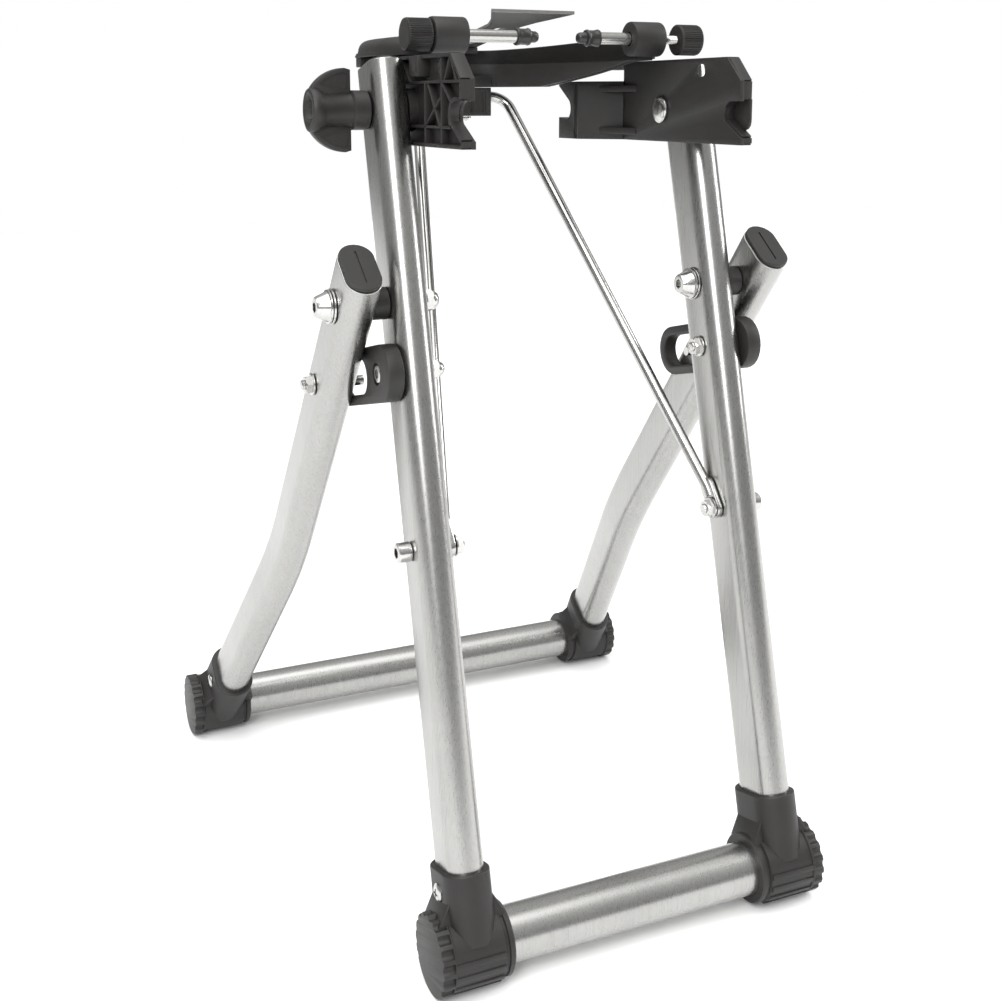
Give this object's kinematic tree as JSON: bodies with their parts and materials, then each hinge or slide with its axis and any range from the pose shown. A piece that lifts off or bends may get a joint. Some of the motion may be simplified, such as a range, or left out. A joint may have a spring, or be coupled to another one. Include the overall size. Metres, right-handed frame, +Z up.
{
  "type": "folding wheel truing stand",
  "caption": "Folding bicycle repair stand that holds a wheel by its axle between two notched heads, with a swinging gauge of screw feelers and a sliding radial blade.",
  "frame": {"origin": "on the floor, midway between the four feet", "axes": "+X to the stand's right seen from the front, +Y to the rear, +Z up"},
  "size_m": [0.298, 0.3356, 0.4409],
  "materials": {
    "tube": "satin",
    "zinc": "bright zinc plating",
    "steel": "polished",
    "plastic": "fine-grained, matte",
    "rubber": "smooth",
    "blade": "satin black"
  },
  "bodies": {
    "front_frame": {"front_left_leg": "tube", "front_left_foot": "plastic", "front_left_foot_screw": "zinc", "front_left_cap": "plastic", "left_head": "plastic", "left_pivot_spacer": "plastic", "left_pivot_bolt": "zinc", "left_pivot_washer": "zinc", "left_pivot_nut": "zinc", "left_link_nut": "zinc", "left_link_bolt": "zinc", "left_rod_nut": "zinc", "left_rod_bolt": "zinc", "front_right_leg": "tube", "front_right_foot": "plastic", "front_right_foot_screw": "zinc", "front_right_cap": "plastic", "right_head": "plastic", "right_pivot_spacer": "plastic", "right_pivot_bolt": "zinc", "right_pivot_washer": "zinc", "right_pivot_nut": "zinc", "right_link_nut": "zinc", "right_link_bolt": "zinc", "right_rod_nut": "zinc", "right_rod_bolt": "zinc", "front_base_tube": "tube", "right_head_bolt": "zinc", "right_head_nut": "zinc"},
    "rear_frame": {"rear_left_leg": "tube", "rear_left_foot": "plastic", "rear_left_foot_screw": "zinc", "rear_left_cap": "plastic", "left_stop_nut": "zinc", "left_stop_bolt": "zinc", "rear_right_leg": "tube", "rear_right_foot": "plastic", "rear_right_foot_screw": "zinc", "rear_right_cap": "plastic", "right_stop_nut": "zinc", "right_stop_bolt": "zinc", "rear_base_tube": "tube"},
    "left_lock_link": {"left_link": "plastic"},
    "right_lock_link": {"right_link": "plastic"},
    "clamp_knob": {"wing_knob": "plastic", "clamp_stud": "zinc"},
    "gauge_arm": {"gauge_rod": "steel"},
    "gauge_head": {"rod_clamp": "plastic", "front_clamp_screw": "zinc", "rear_clamp_screw": "zinc", "gauge_yoke": "plastic", "blade_screw": "zinc"},
    "blade_slider": {"radial_blade": "blade"},
    "left_feeler": {"left_feeler_rod": "steel", "left_feeler_tip": "rubber", "left_feeler_knob": "plastic"},
    "right_feeler": {"right_feeler_rod": "steel", "right_feeler_tip": "rubber", "right_feeler_knob": "plastic"}
  },
  "joints": [
    {"name": "stand_fold", "type": "hinge", "parent": "front_frame", "child": "rear_frame", "pos_m": [0, -0.07565, 0.3035], "axis": [-1, 0, 0], "range_deg": [0, 52.6]},
    {"name": "left_link_turn", "type": "hinge", "parent": "front_frame", "child": "left_lock_link", "pos_m": [-0.0966, -0.0838, 0.27183], "axis": [-1, 0, 0], "range_deg": [0, 90.5]},
    {"name": "right_link_turn", "type": "hinge", "parent": "front_frame", "child": "right_lock_link", "pos_m": [0.0966, -0.0838, 0.27183], "axis": [-1, 0, 0], "range_deg": [0, 90.5]},
    {"name": "knob_spin", "type": "hinge", "parent": "front_frame", "child": "clamp_knob", "pos_m": [-0.107, -0.05292, 0.3918], "axis": [1, 0, 0], "continuous": true},
    {"name": "gauge_swing", "type": "hinge", "parent": "front_frame", "child": "gauge_arm", "pos_m": [0, -0.10438, 0.1919], "axis": [1, 0, 0], "range_deg": [0, 134]},
    {"name": "gauge_tilt", "type": "hinge", "parent": "gauge_arm", "child": "gauge_head", "pos_m": [0, 0.054, 0.3985], "axis": [-1, 0, 0], "range_deg": [0, 95]},
    {"name": "blade_slide", "type": "slide", "parent": "gauge_head", "child": "blade_slider", "axis": [0, 0.9903, -0.1392], "range_m": [0, 0.03]},
    {"name": "left_feeler_slide", "type": "slide", "parent": "gauge_head", "child": "left_feeler", "axis": [-1, 0, 0], "range_m": [0, 0.012]},
    {"name": "right_feeler_slide", "type": "slide", "parent": "gauge_head", "child": "right_feeler", "axis": [1, 0, 0], "range_m": [-0.009, 0.005]}
  ],
  "couplings": [
    {"joint": "left_link_turn", "follows": "stand_fold", "ratio": 1.7},
    {"joint": "right_link_turn", "follows": "stand_fold", "ratio": 1.7}
  ]
}
